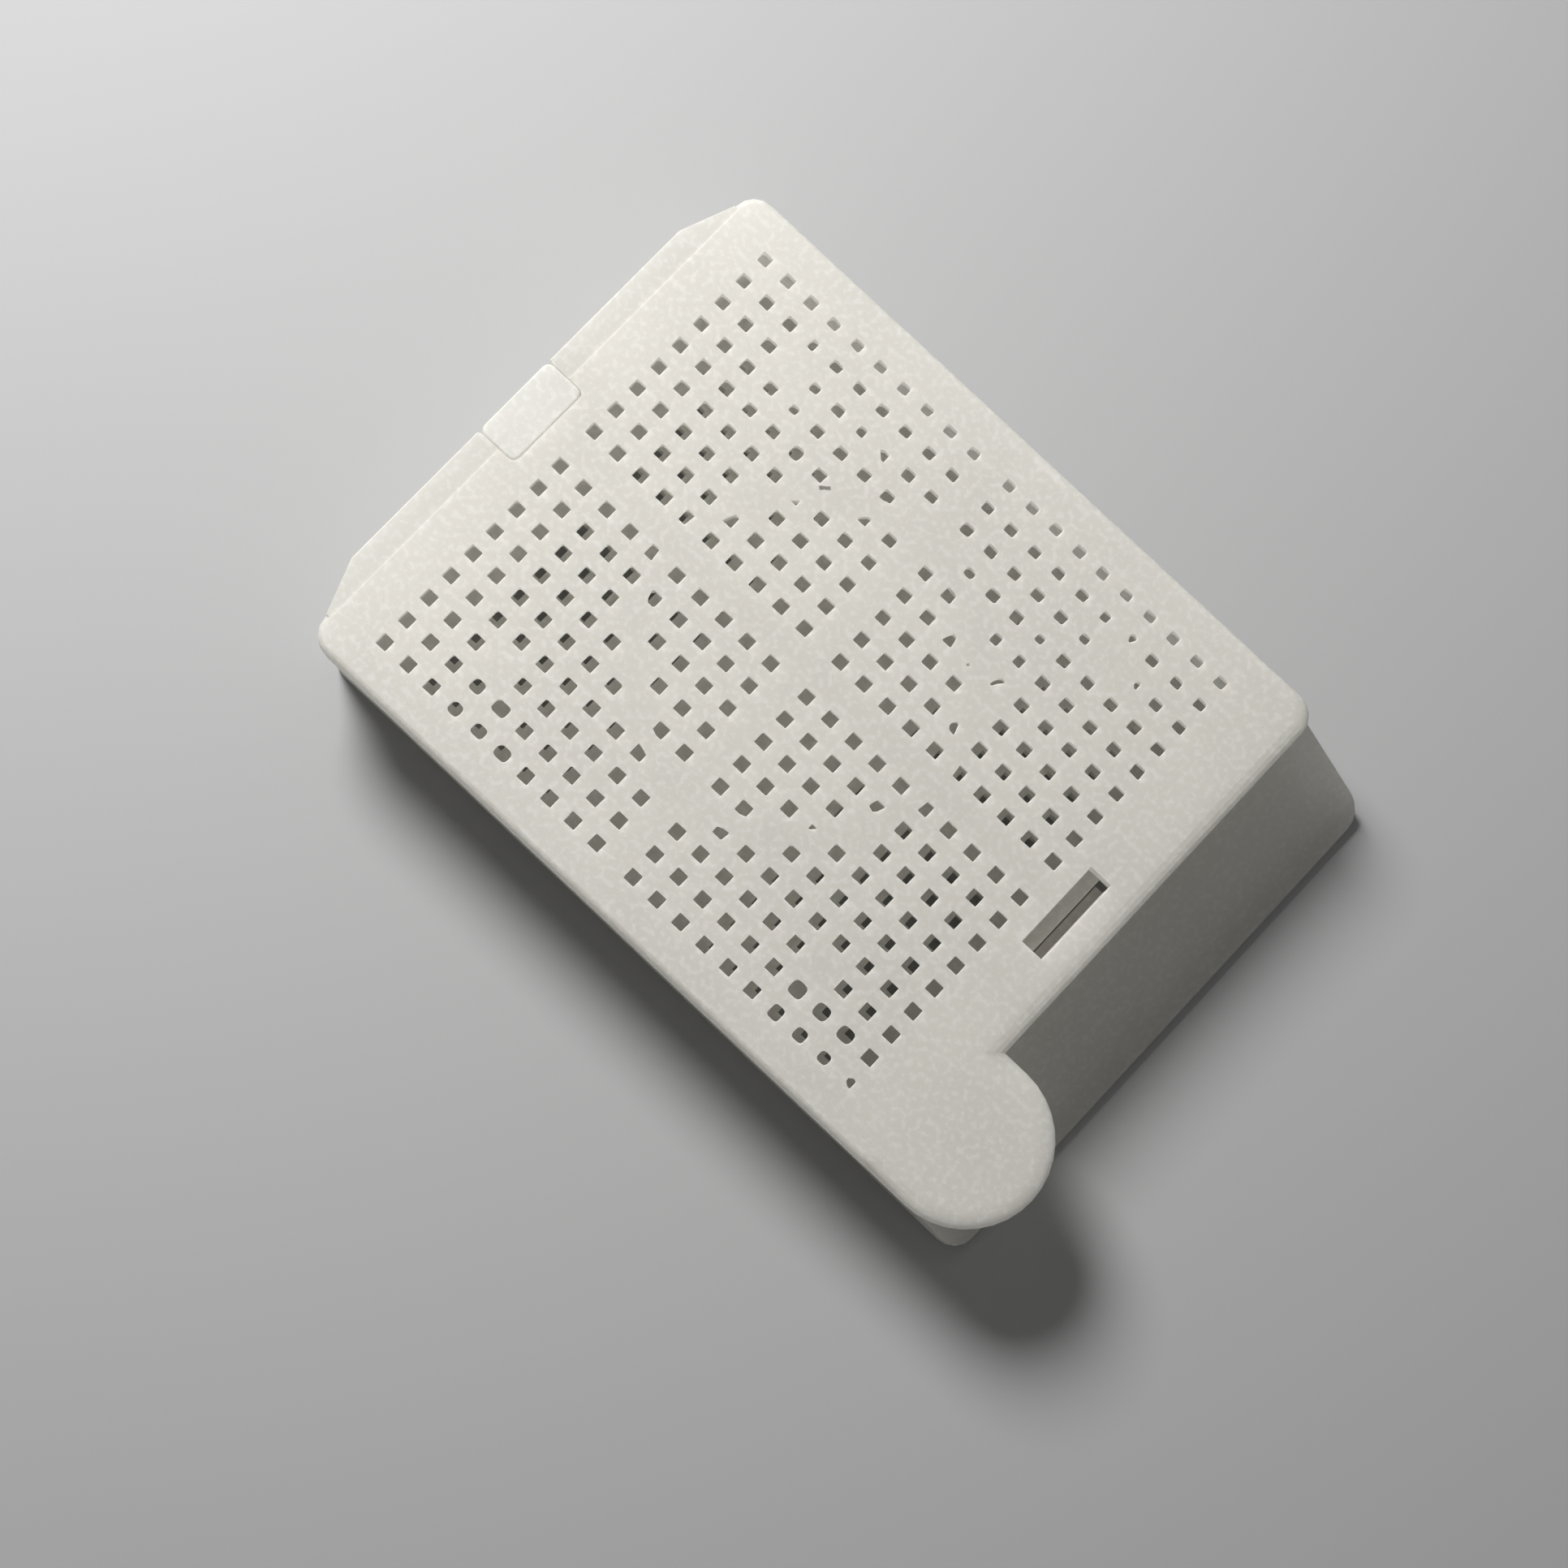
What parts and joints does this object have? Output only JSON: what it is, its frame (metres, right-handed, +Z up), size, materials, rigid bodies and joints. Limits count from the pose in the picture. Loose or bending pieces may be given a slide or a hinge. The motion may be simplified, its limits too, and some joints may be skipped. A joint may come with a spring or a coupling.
{
  "type": "tissue cassette",
  "caption": "Flat perforated plastic tray with a sloping writing face, and a hinged perforated lid with a thumb tab and a front snap latch, for holding tissue samples in fluid.",
  "frame": {"origin": "centre of the underside of the closed cassette's box", "axes": "+X from the hinge to the writing face, +Y across, away from the thumb tab, +Z up"},
  "size_m": [0.0408, 0.0286, 0.0066],
  "materials": {
    "base_acetal": "fine matte moulded acetal, warm white",
    "lid_acetal": "fine matte moulded acetal, warm white"
  },
  "bodies": {
    "base": {"base": "base_acetal"},
    "lid": {"lid": "lid_acetal"}
  },
  "joints": [
    {"name": "lid_hinge", "type": "hinge", "parent": "base", "child": "lid", "pos_m": [-0.01981, -0.0002, 0.00585], "axis": [0, -1, 0], "range_deg": [0, 100]}
  ]
}
